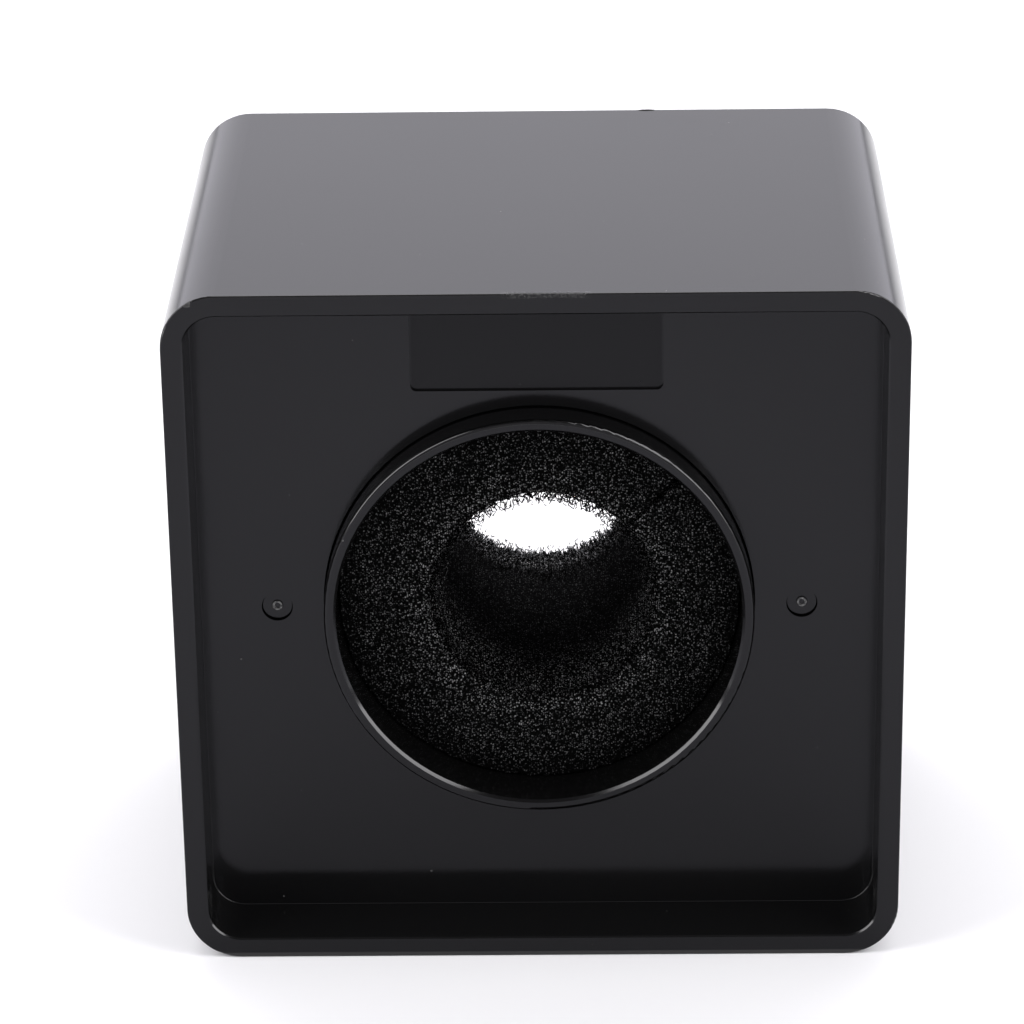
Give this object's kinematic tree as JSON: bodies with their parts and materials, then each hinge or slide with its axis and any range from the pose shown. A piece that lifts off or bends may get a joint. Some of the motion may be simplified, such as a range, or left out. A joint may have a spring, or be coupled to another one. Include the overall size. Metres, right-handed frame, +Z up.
{
  "type": "microphone flag",
  "caption": "Square flag that slips over a handheld microphone: a hollow shell with flat sides for a logo, a sleeve through its middle and a slit foam insert that grips the handle.",
  "frame": {"origin": "centre of the flat side that the flag lies on", "axes": "+Z up, +Y along the microphone's axis from the front mouth to the rear, +X to the right seen from the front"},
  "size_m": [0.057, 0.043, 0.057],
  "materials": {
    "shell_abs": "satin moulded ABS, black",
    "frame_abs": "satin moulded ABS, black",
    "pin_abs": "satin moulded ABS, black",
    "foam": "open-cell polyurethane foam, black"
  },
  "bodies": {
    "shell": {"outer_shell": "shell_abs"},
    "frame": {"inner_frame": "frame_abs", "left_pin": "pin_abs", "right_pin": "pin_abs"},
    "foam": {"foam_insert": "foam"}
  },
  "joints": [
    {"name": "frame_pull", "type": "slide", "parent": "shell", "child": "frame", "axis": [0, 1, 0], "range_m": [0, 0.045]},
    {"name": "foam_pull", "type": "slide", "parent": "frame", "child": "foam", "axis": [0, -1, 0], "range_m": [0, 0.036]}
  ]
}
